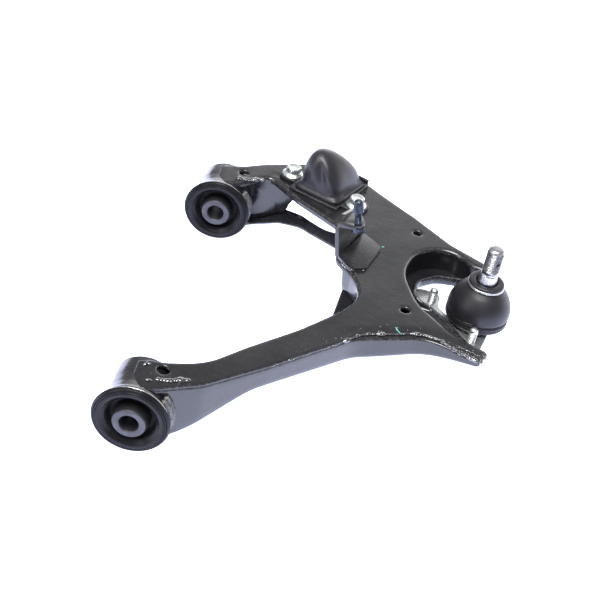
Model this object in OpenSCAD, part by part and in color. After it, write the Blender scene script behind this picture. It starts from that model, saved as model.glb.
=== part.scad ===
// Lower control arm of a car's front suspension: a welded shell of two steel
// stampings with two rubber bushes, a bump stop, a link bracket and a ball joint.
// X points outboard from the pivot axis, Y runs along it from the rear bush to
// the front bush, Z is up. The origin is the centre of the rear bush.

/* [Arm] */
// Distance between the two bush centres
bush_span = 325; // [320:1:330]
// Thickness of the pressed sheet
sheet_t = 3; // [2.5:0.1:3.5]
// Height of the flat top of the arm over the pivot axis
top_z = 28; // [26:0.5:29]
// Height of the underside of the flat lower stamping
lower_z = 2; // [0:0.5:4]

/* [Bushes] */
// Diameter of the hole for the pivot bolt
bolt_bore_d = 16.5; // [14:0.1:18]
// Outer diameter of the inner steel sleeve
inner_sleeve_d = 28; // [26:0.5:30]
// Length of the inner steel sleeve
inner_sleeve_len = 62; // [58:1:68]
// Outer diameter of the flange of the bush
bush_flange_d = 66; // [62:1:68]
// Outer diameter of the tube that holds the bush
tube_d = 54; // [53:0.5:55]
// Length of that tube
tube_len = 46; // [42:1:50]

/* [Ball joint] */
// Diameter of the ball
ball_d = 26; // [25:0.5:27]
// Thread diameter of the ball stud
stud_d = 16; // [14:1:17]
// Height of the stud's end over the ball centre
stud_h = 86; // [80:1:92]
// Largest diameter of the dust boot
boot_d = 60; // [58:0.5:62]
// Diameter of the three flange studs
flange_stud_d = 8; // [6:0.5:9]

/* [Bump stop] */
// Height of the rubber block
bump_h = 41; // [36:1:48]
// Distance between the two bolts of the bump stop
bump_bolt_gap = 76; // [74:1:78]

/* [Hidden] */
$fn = 64;

PAINT = [0.10, 0.10, 0.11];
STEEL = [0.60, 0.60, 0.62];
ZINC = [0.66, 0.68, 0.64];
RUBBER = [0.08, 0.08, 0.09];
BOOT = [0.20, 0.19, 0.21];
NYLON = [0.85, 0.83, 0.76];
BLUED = [0.12, 0.14, 0.20];

tube_r = tube_d / 2;
under_tube = -tube_r - 0.3;        // upper face of the lower sheet under the tubes
sheet_top_in = top_z - sheet_t;    // underside of the top sheet
lower_top = lower_z + sheet_t;     // upper face of the lower sheet
ramp_in = 33;                      // the lower sheet starts to climb here
ramp_out = 87;                     // and is flat beyond here

// The ball joint's own frame: ball centre and the three stud places around it
ball_x = 270;
ball_y = 220;
ball_z = -2;
flange_z = -4;                     // underside of the joint's flange
flange_t = 6;
STUD_AT = [[-43, 11], [-2, -37], [14, 34]];

// The link bracket's lean, the height of its shelf and the place of its stud
link_lean = 12;
link_shelf_z = 36;
LINK_STUD = [9, -15.5];

// The bump stop's own frame
bump_x = 100;
bump_y = 336;
bump_yaw = -23;
bump_off = 12;                     // the rubber sits this far off the bolt line
bump_plate_t = 3;

// ---- outlines ---------------------------------------------------------------
// A path is a list of corners [x, y, radius]; the corners are rounded by arcs.

function unit(v) = v / norm(v);
function xy(p) = [p[0], p[1]];
function turn(a, b, c) = let (u = unit(xy(b) - xy(a)), v = unit(xy(c) - xy(b)))
  atan2(u[0] * v[1] - u[1] * v[0], u[0] * v[0] + u[1] * v[1]);
// points of the rounded corner b between a and c, one point about every 7 degrees
function corner(a, b, c) = let (
    u = unit(xy(b) - xy(a)), t = turn(a, b, c), s = t < 0 ? -1 : 1,
    r = b[2], back = r * tan(abs(t) / 2),
    start = xy(b) - u * back, mid = start + s * r * [-u[1], u[0]],
    steps = max(1, ceil(abs(t) / 7)))
  r <= 0.05 || abs(t) < 0.5 ? [xy(b)]
  : [for (i = [0 : steps]) let (k = i * t / steps, d = start - mid)
      mid + [d[0] * cos(k) - d[1] * sin(k), d[0] * sin(k) + d[1] * cos(k)]];
function closed(p) = let (n = len(p)) [for (i = [0 : n - 1])
  each corner(p[(i + n - 1) % n], p[i], p[(i + 1) % n])];
function opened(p) = let (n = len(p)) [xy(p[0]),
  for (i = [1 : n - 2]) each corner(p[i - 1], p[i], p[i + 1]), xy(p[n - 1])];
// a corner moved a distance d to the left of the path, with its radius to match
function shifted(a, b, c, d) = let (
    u = unit(xy(b) - xy(a)), v = unit(xy(c) - xy(b)), t = turn(a, b, c),
    m = unit([-u[1], u[0]] + [-v[1], v[0]]), q = xy(b) + m * d / cos(t / 2))
  [q[0], q[1], t > 0 ? max(0, b[2] - d) : b[2] + d];
function inset(p, d) = let (n = len(p)) [for (i = [0 : n - 1])
  shifted(p[(i + n - 1) % n], p[i], p[(i + 1) % n], d)];
function inset_open(p, d) = let (n = len(p), u = unit(xy(p[1]) - xy(p[0])),
    w = unit(xy(p[n - 1]) - xy(p[n - 2])))
  [[p[0][0] - u[1] * d, p[0][1] + u[0] * d, 0],
   for (i = [1 : n - 2]) shifted(p[i - 1], p[i], p[i + 1], d),
   [p[n - 1][0] - w[1] * d, p[n - 1][1] + w[0] * d, 0]];
function reversed(p) = [for (i = [len(p) - 1 : -1 : 0]) p[i]];

// Top stamping, anticlockwise from the rear bush
REAR_EDGE = [[6, -20, 0], [50, 4, 40], [96, 46, 120], [163, 113, 50], [226, 139, 40],
  [273, 120, 4]];
TOP_FORK = [[279, 139, 4], [247, 152, 30], [212, 184, 60], [194, 232, 26],
  [206, 272, 24], [236, 286, 26], [262, 266, 30], [280, 263, 3]];
FRONT_EDGE = [[282, 272, 4], [236, 297, 40], [199, 329, 50], [160, 358, 60],
  [122, 390, 40], [74, 384, 30], [34, 364, 60], [6, 345, 0]];
CROTCH = [[6, bush_span - 20, 0], [44, 341, 10], [78, 311, 60], [122, 282, 10],
  [129, 226, 14], [146, 205, 6], [161, 178, 40], [145, 148, 6], [112, 107, 60],
  [74, 67, 60], [44, 32, 60], [6, 20, 0]];
TOP_OUTLINE = concat(REAR_EDGE, TOP_FORK, FRONT_EDGE, CROTCH);

// Lower stamping: the same rear edge, a wider fork and a narrow front leg
LOWER_FORK = [[279, 140, 4], [257, 182, 50], [236, 211, 12], [208, 212, 11],
  [212, 242, 16], [228, 258, 20], [262, 264, 30], [280, 266, 3]];
LOWER_FRONT = [[282, 272, 4], [236, 297, 40], [199, 329, 50], [174, 340, 20],
  [122, 296, 30], [92, 316, 40], [60, 350, 20], [34, 359, 20], [-6, 345, 2]];
LOWER_INNER = [[-6, bush_span - 15, 2], [34, 332, 16], [62, 322, 20], [96, 294, 40],
  [126, 278, 10], [140, 262, 10], [142, 222, 20], [137, 156, 12], [112, 112, 60],
  [74, 71, 60], [44, 35, 60], [6, 20, 2], [-6, 20, 0]];
LOWER_OUTLINE = concat([[-6, -20, 0], [6, -20, 2], [50, 3, 40], [96, 45, 120],
  [163, 112, 50], [226, 138, 40], [273, 119, 4]], LOWER_FORK, LOWER_FRONT, LOWER_INNER);

// The lower sheet climbs towards the tip of the rear prong beyond this fold
FOLD_AT = [172, 112];
fold_dir = 38;                     // the fold line's direction in plan
fold_rise = 19;                    // and the climb, in degrees
tip_climb = 120 * tan(fold_rise);  // rise at 120 mm beyond the fold
rim_h = 11;                        // height of the fork's turned-up edge

// ---- the welded arm ---------------------------------------------------------

// A side view in X and Z, extruded along the pivot axis over the whole arm
module side_view(points) translate([0, bush_span + 90, 0]) rotate([90, 0, 0])
  linear_extrude(bush_span + 140) polygon(points);

module lower_profile() side_view([[-6, under_tube - sheet_t], [ramp_in, under_tube - sheet_t],
  [ramp_out, lower_z], [300, lower_z], [300, lower_top], [ramp_out - 1, lower_top],
  [ramp_in - 1, under_tube], [-6, under_tube]]);

// The space between the two sheets, where the side walls stand
module wall_profile() side_view([[10, under_tube], [ramp_in - 1, under_tube],
  [ramp_out - 1, lower_top], [300, lower_top], [300, top_z - 1], [10, top_z - 1]]);

// A view along the fold of the lower sheet, in distance from the fold and Z
module fold_view(points) translate([FOLD_AT[0], FOLD_AT[1], 0]) rotate([0, 0, fold_dir])
  translate([-60, 0, 0]) rotate([90, 0, 90]) linear_extrude(220) polygon(points);

// A layer of depth d on the underside of the climbing tip of the rear prong
module tip_layer(d) fold_view([[3, lower_z], [0, lower_z], [-120, lower_z + tip_climb],
  [-120, lower_z + tip_climb + d], [0, lower_z + d], [3, lower_z + d]]);

// Sheet wrapped over a bush tube, between two angles, on the tube's outside
module saddle(y, from, to) {
  translate([0, y + 19, 0]) rotate([90, 0, 0]) rotate([0, 0, from])
    rotate_extrude(angle = to - from, $fn = 96)
      translate([tube_r + 0.1, 0]) square([sheet_t - 0.1, 38]);
}

module tube_hollow(y) {
  translate([0, y + 60, 0]) rotate([90, 0, 0]) cylinder(r = tube_r + 0.5, h = 120, $fn = 96);
}

module upper_shell() color(PAINT) difference() {
  union() {
    difference() {
      union() {
        translate([0, 0, sheet_top_in]) linear_extrude(sheet_t) polygon(closed(TOP_OUTLINE));
        intersection() {
          translate([0, 0, -40]) linear_extrude(40 + top_z) difference() {
            polygon(closed(TOP_OUTLINE));
            polygon(closed(inset(TOP_OUTLINE, sheet_t)));
          }
          wall_profile();
        }
      }
      tube_hollow(0);
      tube_hollow(bush_span);
    }
    saddle(0, 62, 102);
    saddle(bush_span, 62, 98);
  }
  // the walls of the rear prong end on the climbing lower sheet
  fold_view([[0, -60], [0, lower_top], [-120, lower_top + tip_climb], [-120, -60]]);
  // the front leg is open on its inner side, and both bush ends are open
  translate([0, 0, -50]) linear_extrude(50 + sheet_top_in) {
    polygon([[0, 300], [127, 255], [127, 292], [84, 322], [46, 352], [0, 345]]);
    translate([0, -30]) square([14, 60]);
    translate([0, 290]) square([14, 70]);
  }
  // drain and tooling holes
  for (h = [[15, 11, 11], [17, bush_span + 11, 10], [201, 302, 9], [201, 170, 9]])
    translate([h[0], h[1], top_z - 8]) cylinder(d = h[2], h = 20, $fn = 32);
  bump_frame() for (s = [-1, 1])
    translate([s * bump_bolt_gap / 2, 0, top_z - 8]) cylinder(d = 11, h = 20, $fn = 32);
}

module lower_shell() color(PAINT) intersection() {
  translate([0, 0, -40]) linear_extrude(40 + sheet_top_in - 0.4) polygon(closed(LOWER_OUTLINE));
  union() {
    difference() {
      lower_profile();
      fold_view([[0, -60], [0, 60], [-120, 60], [-120, -60]]);
    }
    tip_layer(sheet_t);
    // the fork's edge is turned up where it stands clear of the top stamping
    intersection() {
      linear_extrude(60) difference() {
        polygon(concat(opened(inset_open(LOWER_FORK, -3)),
          reversed(opened(inset_open(LOWER_FORK, sheet_t)))));
        polygon(closed(inset(TOP_OUTLINE, -0.3)));
      }
      difference() {
        union() {
          tip_layer(rim_h);
          fold_view([[0, lower_z], [0, lower_z + rim_h], [220, lower_z + rim_h], [220, lower_z]]);
        }
        // it stays low beside the rear prong
        translate([0, 213, 0]) rotate([90, 0, 0]) linear_extrude(113)
          polygon([[206, lower_z + rim_h + 1], [232, lower_top + 1.5], [245, lower_top + 1.5],
            [320, lower_top + 26], [320, 60], [206, 60]]);
      }
    }
  }
}

module bush_tube(y) color(STEEL)
  translate([0, y + tube_len / 2 + 1, 0]) rotate([90, 0, 0]) difference() {
    cylinder(r = tube_r, h = tube_len, $fn = 96);
    translate([0, 0, -1]) cylinder(r = tube_r - sheet_t, h = tube_len + 2, $fn = 96);
  }

// Upright plate that closes the front leg beside its bush
module front_web() color(PAINT) difference() {
  translate([0, bush_span + 16, 0]) rotate([90, 0, 0]) linear_extrude(sheet_t)
    polygon([[20, under_tube], [ramp_in - 1, under_tube], [66, -6.5], [68, 2],
      [80, sheet_top_in], [16, sheet_top_in]]);
  tube_hollow(bush_span);
}

// ---- link bracket -----------------------------------------------------------

// The bracket's own frame runs along the arm's inner edge and leans inboard
module link_frame() translate([131, 227, top_z]) rotate([0, 0, 70])
  rotate([-link_lean, 0, 0]) children();

module link_bracket() color(PAINT) difference() {
  union() {
    // foot on the top sheet
    translate([0, 0, top_z]) linear_extrude(3)
      polygon(closed([[130, 226, 1], [143, 210, 4], [158, 216, 8], [169, 257, 8],
        [149, 275, 2]]));
    // leaning web along the inner edge
    link_frame() translate([0, 4, 0]) rotate([90, 0, 0]) linear_extrude(4)
      polygon(closed([[0, 1, 0], [51, 1, 0], [51, 9, 3], [36, link_shelf_z, 5],
        [12, link_shelf_z + 4, 4], [0, link_shelf_z - 4, 8]]));
    // shelf that carries the stud
    link_frame() translate([0, 0, link_shelf_z - 4]) linear_extrude(4)
      polygon(closed([[1, 2, 0], [2, -8, 4], [4, -21, 6], [13, -21, 6], [25, -12, 8],
        [31, 2, 0]]));
  }
  link_frame() translate([LINK_STUD[0], LINK_STUD[1], link_shelf_z - 20])
    cylinder(d = 7.4, h = 60, $fn = 48);
}

module link_stud() color(BLUED) link_frame()
  translate([LINK_STUD[0], LINK_STUD[1], link_shelf_z]) rotate_extrude($fn = 48)
    polygon([[0, -8], [6, -8], [6, -4], [3.6, -4], [3.6, 0], [3.4, 0], [3.4, 11], [5, 12],
      [5, 21], [3.5, 24], [0, 25]]);

// ---- bump stop --------------------------------------------------------------

module bump_frame() { translate([bump_x, bump_y, 0]) rotate([0, 0, bump_yaw]) children(); }

module bump_stop_plate() color(PAINT) bump_frame() difference() {
  union() {
    translate([0, 0, top_z]) linear_extrude(bump_plate_t) {
      polygon(closed([[-50, -12, 10], [50, -12, 10], [50, 13, 10], [-50, 13, 10]]));
      translate([-28, -22]) square([56, 66]);
    }
    // turned-up ear on the outboard side
    translate([12, 41.4, top_z]) cube([15.5, 2.6, 8.5]);
  }
  for (s = [-1, 1]) translate([s * bump_bolt_gap / 2, 0, top_z - 1])
    cylinder(d = 11, h = 6, $fn = 32);
}

module bump_stop_rubber() color(RUBBER) bump_frame()
  translate([0, bump_off, top_z + bump_plate_t]) {
    linear_extrude(4) polygon(closed([[-26, -31, 4], [26, -31, 4], [26, 29, 4], [-26, 29, 4]]));
    // a slanting dome, highest towards the pivot axis
    hull() {
      translate([-23, -28, 0]) cube([46, 54, 6]);
      translate([-10, -13, bump_h - 13]) sphere(r = 13, $fn = 32);
      translate([5, 4, bump_h - 24]) sphere(r = 12, $fn = 32);
    }
  }

module bump_stop_bolts() color(ZINC) bump_frame() for (s = [-1, 1])
  translate([s * bump_bolt_gap / 2, 0, top_z + bump_plate_t]) {
    rotate_extrude($fn = 64)
      polygon([[0, 0], [10.5, 0], [10.5, 1.2], [7.5, 3], [0, 3]]);
    translate([0, 0, 3]) cylinder(d = 14 / cos(30), h = 6, $fn = 6);
    translate([0, 0, -22]) cylinder(d = 9.9, h = 22, $fn = 48);
  }

module bump_stop_weld_nuts() color(ZINC) bump_frame() for (s = [-1, 1])
  translate([s * bump_bolt_gap / 2, 0, sheet_top_in - 8]) difference() {
    cylinder(d = 16 / cos(30), h = 8, $fn = 6);
    translate([0, 0, -1]) cylinder(d = 10, h = 10, $fn = 48);
  }

// ---- bushes -----------------------------------------------------------------
// Each bush is turned about the pivot axis; its flange faces the rear.

module about_pivot(y) { translate([0, y, 0]) rotate([90, 0, 0]) children(); }

module outer_sleeve(y) color(STEEL) about_pivot(y) rotate_extrude($fn = 96)
  polygon([[tube_r - 5.5, -24], [tube_r - sheet_t, -24], [tube_r - sheet_t, 22],
    [bush_flange_d / 2 - 2, 22], [bush_flange_d / 2 - 2, 24], [tube_r - 5.5, 24]]);

module bush_rubber(y) color(RUBBER) about_pivot(y) rotate_extrude($fn = 96)
  polygon([[inner_sleeve_d / 2 + 0.05, -27], [18, -25], [tube_r - 5.5, -22],
    [tube_r - 5.5, 24], [bush_flange_d / 2 - 2, 24], [bush_flange_d / 2, 25.5],
    [bush_flange_d / 2 - 1.5, 28], [24.5, 28.5], [23, 27.5], [19.5, 21.5],
    [inner_sleeve_d / 2 + 0.05, 21.5]]);

module inner_sleeve(y) color(STEEL) about_pivot(y) difference() {
  translate([0, 0, -inner_sleeve_len / 2])
    cylinder(d = inner_sleeve_d, h = inner_sleeve_len, $fn = 96);
  translate([0, 0, -inner_sleeve_len])
    cylinder(d = bolt_bore_d, h = 2 * inner_sleeve_len, $fn = 96);
}

// ---- ball joint -------------------------------------------------------------

module ball_frame() { translate([ball_x, ball_y, ball_z]) children(); }

module flange_outline() difference() {
  union() {
    circle(r = 27);
    // lobes that carry the studs, wider on the side that lies under the arm
    polygon(closed([[-72, 8, 10], [-64, 27, 10], [-37, 17, 8], [-8, -14, 4],
      [10, -28, 10], [11, -46, 12], [-8, -58, 10], [-34, -42, 20]]));
    polygon(closed([[-24, 20, 10], [0, 56, 12], [26, 52, 12], [28, 24, 10], [10, 4, 1]]));
  }
  circle(r = 20);
}

module ball_joint_housing() color(ZINC) ball_frame() difference() {
  union() {
    translate([0, 0, flange_z - ball_z]) linear_extrude(flange_t) flange_outline();
    rotate_extrude($fn = 96) polygon([[17, -17], [21, -17], [22, -15], [22, 13],
      [14.5, 13], [12.3, 8], [17, 8]]);
  }
  for (p = STUD_AT) translate([p[0], p[1], -20])
    cylinder(d = flange_stud_d, h = 40, $fn = 48);
}

module flange_studs() color(ZINC) ball_frame() for (p = STUD_AT)
  translate([p[0], p[1], flange_z - ball_z]) rotate_extrude($fn = 48)
    polygon([[0, -2], [6, -2], [6, 0], [flange_stud_d / 2, 0], [flange_stud_d / 2, 20],
      [flange_stud_d / 2 - 1, 21], [0, 21]]);

module ball_stud() color(STEEL) ball_frame() difference() {
  union() {
    sphere(d = ball_d, $fn = 96);
    rotate_extrude($fn = 96)
      polygon([[0, 0], [7.5, 0], [7.5, 24], [10, 34], [10, 45], [stud_d / 2, 58],
        [stud_d / 2, stud_h - 2], [stud_d / 2 - 2, stud_h], [0, stud_h]]);
  }
  // cotter pin hole across the thread
  translate([0, 0, 72]) rotate([90, 0, 35]) cylinder(d = 4, h = 40, center = true, $fn = 32);
}

module ball_seat_upper() color(NYLON) ball_frame() difference() {
  translate([0, 0, -2.5]) cylinder(r = 16.95, h = 9.5, $fn = 96);
  sphere(d = ball_d + 0.1, $fn = 96);
}

module ball_seat_lower() color(NYLON) ball_frame() difference() {
  translate([0, 0, -14.2]) cylinder(r = 16.95, h = 11.2, $fn = 96);
  sphere(d = ball_d + 0.1, $fn = 96);
}

module ball_joint_cover() color(ZINC) ball_frame()
  translate([0, 0, -16.6]) cylinder(r = 16.9, h = 2.2, $fn = 96);

module dust_boot() color(BOOT) ball_frame() rotate_extrude($fn = 96)
  polygon([[22.3, 7], [29, 7], [29.6, 9], [29.4, 11], [28.2, 12], [29.4, 13],
    [boot_d / 2, 16], [29.6, 22], [27.5, 30], [23.5, 37], [18.5, 42.5], [16.6, 44.5],
    [16.6, 46.5], [15.2, 49], [10.4, 49], [10.4, 42], [16, 40.5], [21, 35], [25, 28],
    [26.6, 20], [26, 15.5], [22.3, 13.5]]);

module boot_upper_ring() color(STEEL) ball_frame() translate([0, 0, 45])
  difference() {
    cylinder(r = 17.5, h = 1.2, $fn = 96);
    translate([0, 0, -1]) cylinder(r = 16.7, h = 4, $fn = 96);
  }

module boot_lower_ring() color(RUBBER) ball_frame() translate([0, 0, 11.3])
  difference() {
    cylinder(r = 30, h = 1.4, $fn = 96);
    translate([0, 0, -1]) cylinder(r = 29.5, h = 4, $fn = 96);
  }

upper_shell();
lower_shell();
bush_tube(0);  // rear_bush_tube
bush_tube(bush_span);  // front_bush_tube
front_web();
link_bracket();
link_stud();
bump_stop_rubber();
bump_stop_plate();
bump_stop_bolts();
bump_stop_weld_nuts();
outer_sleeve(0);  // rear_outer_sleeve
bush_rubber(0);  // rear_bush_rubber
inner_sleeve(0);  // rear_inner_sleeve
outer_sleeve(bush_span);  // front_outer_sleeve
bush_rubber(bush_span);  // front_bush_rubber
inner_sleeve(bush_span);  // front_inner_sleeve
ball_joint_housing();
flange_studs();
ball_stud();
ball_seat_upper();
ball_seat_lower();
ball_joint_cover();
dust_boot();
boot_upper_ring();
boot_lower_ring();
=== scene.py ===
import math

import bmesh
import bpy
import numpy as np
from mathutils import Matrix, Vector, noise
from mathutils.geometry import delaunay_2d_cdt


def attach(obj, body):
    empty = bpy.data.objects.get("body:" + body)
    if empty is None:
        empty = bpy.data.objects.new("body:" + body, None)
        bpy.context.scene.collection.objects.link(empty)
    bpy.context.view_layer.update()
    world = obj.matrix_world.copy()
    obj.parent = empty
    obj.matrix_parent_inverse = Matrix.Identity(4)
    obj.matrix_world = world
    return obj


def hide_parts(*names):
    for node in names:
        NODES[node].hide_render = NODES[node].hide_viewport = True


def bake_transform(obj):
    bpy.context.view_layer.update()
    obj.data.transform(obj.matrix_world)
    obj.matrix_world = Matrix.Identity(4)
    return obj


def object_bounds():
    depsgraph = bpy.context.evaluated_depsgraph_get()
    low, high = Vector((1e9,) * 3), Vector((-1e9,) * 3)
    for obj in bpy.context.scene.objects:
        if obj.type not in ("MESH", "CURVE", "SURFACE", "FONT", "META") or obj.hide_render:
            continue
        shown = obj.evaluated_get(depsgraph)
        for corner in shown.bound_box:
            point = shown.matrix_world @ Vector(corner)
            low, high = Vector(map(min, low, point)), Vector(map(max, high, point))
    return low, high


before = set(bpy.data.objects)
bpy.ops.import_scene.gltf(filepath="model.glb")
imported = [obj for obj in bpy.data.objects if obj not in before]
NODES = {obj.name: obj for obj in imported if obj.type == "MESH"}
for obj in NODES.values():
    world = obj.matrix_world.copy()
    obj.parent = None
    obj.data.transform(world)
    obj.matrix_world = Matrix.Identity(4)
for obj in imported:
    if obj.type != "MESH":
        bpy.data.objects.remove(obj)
CAD_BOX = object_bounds()

# All lengths are in millimetres, along the frame's axes, and become metres in Shape.make.
# X runs outboard from the bushes' axis, Y from the rear bush to the front one, Z up.
MM = 0.001
WELD_DIST = 2e-6                   # metres; points nearer than this become one
SPAN = 325.0                       # rear to front bush
BUSHES = (("rear", 0.0), ("front", SPAN))
TOP_Z, SHEET = 28.0, 3.0           # upper face and thickness of the top stamping
TUBE_R = 27.0                      # outside of the bushes' tubes
FLOOR_Z = -30.3                    # underside of the lower stamping, beside the bushes
BALL = np.array([270.0, 220.0, -2.0])
BUMP_AT, BUMP_YAW = (100.0, 336.0), math.radians(-23)
PLATE_Z = 31.0                     # upper face of the bump stop's plate
LINK_FOOT = (131.0, 227.0)         # corner that the link bracket is turned about
# a fold across the lower stamping, beyond which its floor rises
FOLD_AT, FOLD_DIR, FOLD_RISE = (172.0, 112.0), math.radians(38), math.tan(math.radians(19))
# holes through the top stamping: x, y, radius
TOP_HOLES = ((15, 11, 5.5), (17, SPAN + 11, 5.0), (201, 302, 4.5), (201, 170, 4.5))


# ---- small helpers

def smooth(a, b, x):
    """0 before a, 1 after b, and an eased step between."""
    t = min(1.0, max(0.0, (x - a) / (b - a)))
    return t * t * (3 - 2 * t)


def soft_ramp(u, width):
    """u where it is above 0 and 0 where it isn't, blended over width."""
    return 0.5 * (u + math.sqrt(u * u + width * width))


def circle(radius, count, x=0.0, y=0.0):
    """count points round a circle about (x, y)."""
    turns = [2 * math.pi * k / count for k in range(count)]
    return [(x + radius * math.cos(t), y + radius * math.sin(t)) for t in turns]


def in_scene(name, data):
    """An object with this data, linked to the scene."""
    obj = bpy.data.objects.new(name, data)
    bpy.context.scene.collection.objects.link(obj)
    return obj


def waves(x, y, z, scale, seed=0.0):
    """Smooth noise from -1 to 1; scale is its wavelength in millimetres."""
    return noise.noise(Vector((x / scale + seed, y / scale - seed, z / scale + 2 * seed)))


class Shape:
    """A mesh being built: points in millimetres, faces by index, and a wear value per point."""

    def __init__(self):
        self.points, self.faces, self.wear = [], [], []

    def add(self, points, wear=0.0):
        start = len(self.points)
        self.points.extend(tuple(float(c) for c in p) for p in points)
        self.wear.extend([wear] * (len(self.points) - start))
        return list(range(start, len(self.points)))

    def bridge(self, a, b, closed=True):
        n = len(a)
        for i in range(n if closed else n - 1):
            j = (i + 1) % n
            self.faces.append((a[i], a[j], b[j], b[i]))

    def cap(self, ring, flip=False):
        self.faces.append(tuple(reversed(ring)) if flip else tuple(ring))

    def skin(self, rings, flip=False):
        """Joins each ring of points to the next."""
        for a, b in zip(rings, rings[1:]):
            self.bridge(*((b, a) if flip else (a, b)))

    def merge(self, other, at):
        """Takes in another shape's points and faces, moved by at."""
        start = len(self.points)
        self.add([(x + at[0], y + at[1], z + at[2]) for x, y, z in other.points])
        self.faces += [tuple(i + start for i in f) for f in other.faces]

    def make(self, name, material, body="arm", sharp=40.0, place=None):
        """The piece: place moves its points, and sharp is the angle of a hard edge."""
        mesh = bpy.data.meshes.new(name)
        pts = np.array(self.points, float)
        if place is not None:
            pts = place(pts)
        mesh.from_pydata((pts * MM).tolist(), [], self.faces)
        layer = mesh.attributes.new("wear", "FLOAT", "POINT")
        layer.data.foreach_set("value", np.array(self.wear, np.float32))
        mesh.materials.append(material)
        bm = bmesh.new()
        bm.from_mesh(mesh)
        bmesh.ops.remove_doubles(bm, verts=bm.verts, dist=WELD_DIST)
        bmesh.ops.recalc_face_normals(bm, faces=bm.faces)
        bm.to_mesh(mesh)
        bm.free()
        shade(mesh, sharp)
        obj = in_scene(name, mesh)
        if body:
            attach(obj, body)
        return obj


def shade(mesh, sharp):
    """Smooth shading, with hard edges over an angle of sharp degrees."""
    for p in mesh.polygons:
        p.use_smooth = True
    mesh.set_sharp_from_angle(angle=math.radians(sharp))


# ---- materials

class Nodes:
    """Short names for building the node tree of a material or a world."""

    def __init__(self, owner):
        owner.use_nodes = True
        self.tree = owner.node_tree
        self.where = self.new("ShaderNodeTexCoord").outputs

    def new(self, kind, **settings):
        node = self.tree.nodes.new(kind)
        for key, value in settings.items():
            setattr(node, key, value)
        return node

    def link(self, a, b):
        self.tree.links.new(a, b)

    def noise(self, scale, detail, rough=0.55, stretch=None):
        node = self.new("ShaderNodeTexNoise")
        node.inputs["Scale"].default_value = scale
        node.inputs["Detail"].default_value = detail
        node.inputs["Roughness"].default_value = rough
        where = self.where["Object"]
        if stretch:
            squeeze = self.new("ShaderNodeMapping")
            squeeze.inputs["Scale"].default_value = stretch
            self.link(where, squeeze.inputs["Vector"])
            where = squeeze.outputs["Vector"]
        self.link(where, node.inputs["Vector"])
        return node.outputs["Fac"]

    def span(self, value, low, high, to_low=0.0, to_high=1.0, step="LINEAR"):
        node = self.new("ShaderNodeMapRange", interpolation_type=step)
        for key, number in (("From Min", low), ("From Max", high),
                            ("To Min", to_low), ("To Max", to_high)):
            node.inputs[key].default_value = number
        self.link(value, node.inputs["Value"])
        return node.outputs["Result"]

    def math(self, operation, *values):
        node = self.new("ShaderNodeMath", operation=operation)
        for socket, value in zip(node.inputs, values):
            if isinstance(value, (int, float)):
                socket.default_value = value
            else:
                self.link(value, socket)
        return node.outputs[0]

    def mix(self, factor, a, b):
        node = self.new("ShaderNodeMix", data_type="RGBA")
        self.link(factor, node.inputs["Factor"])
        for socket, value in ((node.inputs[6], a), (node.inputs[7], b)):
            if isinstance(value, tuple):
                socket.default_value = (*value, 1.0)
            else:
                self.link(value, socket)
        return node.outputs[2]

    def bump(self, height, distance, after=None):
        node = self.new("ShaderNodeBump")
        node.inputs["Strength"].default_value = 1.0
        node.inputs["Distance"].default_value = distance
        self.link(height, node.inputs["Height"])
        if after is not None:
            self.link(after, node.inputs["Normal"])
        return node.outputs["Normal"]

    def attribute(self, name):
        return self.new("ShaderNodeAttribute", attribute_name=name).outputs["Fac"]


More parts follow.
